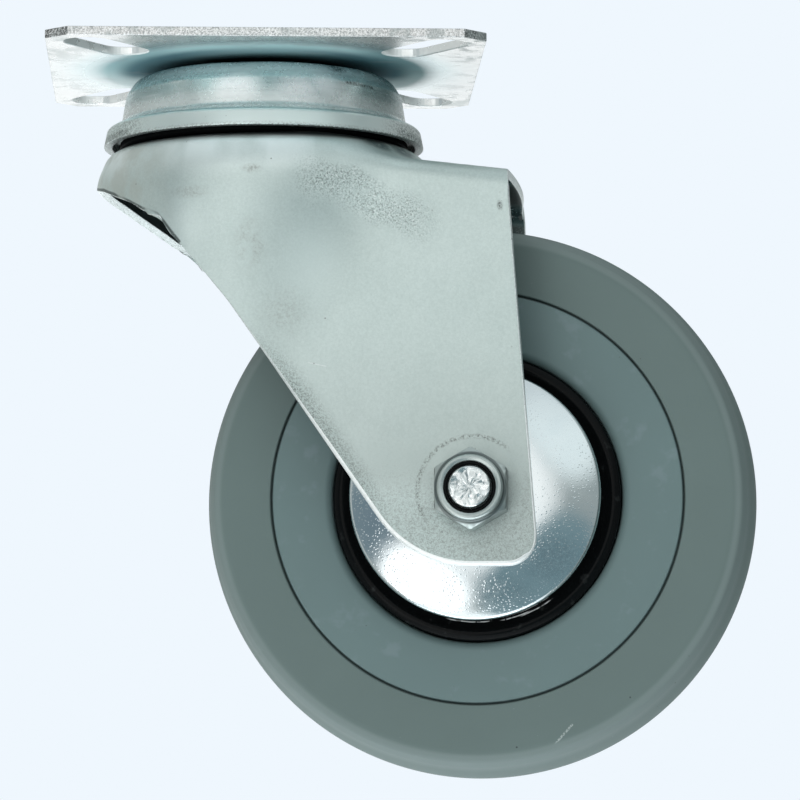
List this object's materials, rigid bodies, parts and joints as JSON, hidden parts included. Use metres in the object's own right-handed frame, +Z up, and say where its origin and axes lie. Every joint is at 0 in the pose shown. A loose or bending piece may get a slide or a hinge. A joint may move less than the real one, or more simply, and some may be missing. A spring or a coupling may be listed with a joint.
{
  "type": "swivel castor",
  "caption": "Swivel castor: a zinc-plated slotted top plate with a ball-bearing swivel head, a pressed fork and a grey rubber-tyred wheel on a bolted axle.",
  "frame": {"origin": "centre of the top plate's upper face, on the swivel axis", "axes": "+Z up out of the top plate's upper face, X along the plate's longer side and towards the trail, Y along the wheel's axle side; the wheel hangs at -Z"},
  "size_m": [0.1617, 0.0971, 0.1649],
  "materials": {
    "zinc_plated_steel": "satin zinc plate over pressed sheet",
    "bearing_steel": "machined and zinc-plated steel",
    "black_plastic": "glossy black moulding",
    "grey_core": "moulded grey plastic",
    "grey_rubber": "matt grey rubber"
  },
  "bodies": {
    "mount": {"top_plate": "zinc_plated_steel", "swivel_housing": "zinc_plated_steel", "swivel_seal": "black_plastic", "kingpin": "bearing_steel", "kingpin_washer": "bearing_steel", "kingpin_nut": "bearing_steel", "lower_race": "bearing_steel"},
    "upper_ball_ring": {"upper_balls": "bearing_steel"},
    "lower_ball_ring": {"lower_balls": "bearing_steel"},
    "fork": {"fork": "zinc_plated_steel", "axle_bolt": "bearing_steel", "axle_nut": "bearing_steel", "nut_insert": "black_plastic", "axle_sleeve": "bearing_steel", "bearing_spacer": "bearing_steel", "axle_spacer_near": "bearing_steel", "axle_spacer_far": "bearing_steel", "thread_guard_near": "zinc_plated_steel", "thread_guard_far": "zinc_plated_steel", "bearing_inner_near": "bearing_steel", "bearing_inner_far": "bearing_steel"},
    "wheel": {"wheel_core": "grey_core", "tyre": "grey_rubber", "dust_seal_near": "black_plastic", "dust_seal_far": "black_plastic", "bearing_outer_near": "bearing_steel", "bearing_outer_far": "bearing_steel"},
    "wheel_balls_near": {"bearing_balls_near": "bearing_steel"},
    "wheel_balls_far": {"bearing_balls_far": "bearing_steel"}
  },
  "joints": [
    {"name": "swivel", "type": "hinge", "parent": "mount", "child": "fork", "pos_m": [0, 0, -0.03], "axis": [0, 0, 1], "continuous": true},
    {"name": "upper_ball_travel", "type": "hinge", "parent": "mount", "child": "upper_ball_ring", "pos_m": [0, 0, -0.0097], "axis": [0, 0, 1], "continuous": true},
    {"name": "lower_ball_travel", "type": "hinge", "parent": "mount", "child": "lower_ball_ring", "pos_m": [0, 0, -0.01243], "axis": [0, 0, 1], "continuous": true},
    {"name": "wheel_spin", "type": "hinge", "parent": "fork", "child": "wheel", "pos_m": [0.05006, -0.00588, -0.1024], "axis": [0.1167, 0.9932, 0], "continuous": true},
    {"name": "near_bearing_ball_travel", "type": "hinge", "parent": "fork", "child": "wheel_balls_near", "pos_m": [0.05006, -0.00588, -0.1024], "axis": [0.1167, 0.9932, 0], "continuous": true},
    {"name": "far_bearing_ball_travel", "type": "hinge", "parent": "fork", "child": "wheel_balls_far", "pos_m": [0.05006, -0.00588, -0.1024], "axis": [0.1167, 0.9932, 0], "continuous": true}
  ],
  "couplings": [
    {"joint": "upper_ball_travel", "follows": "swivel", "ratio": 0.5},
    {"joint": "lower_ball_travel", "follows": "swivel", "ratio": 0.5},
    {"joint": "near_bearing_ball_travel", "follows": "wheel_spin", "ratio": 0.6352},
    {"joint": "far_bearing_ball_travel", "follows": "wheel_spin", "ratio": 0.6352}
  ]
}
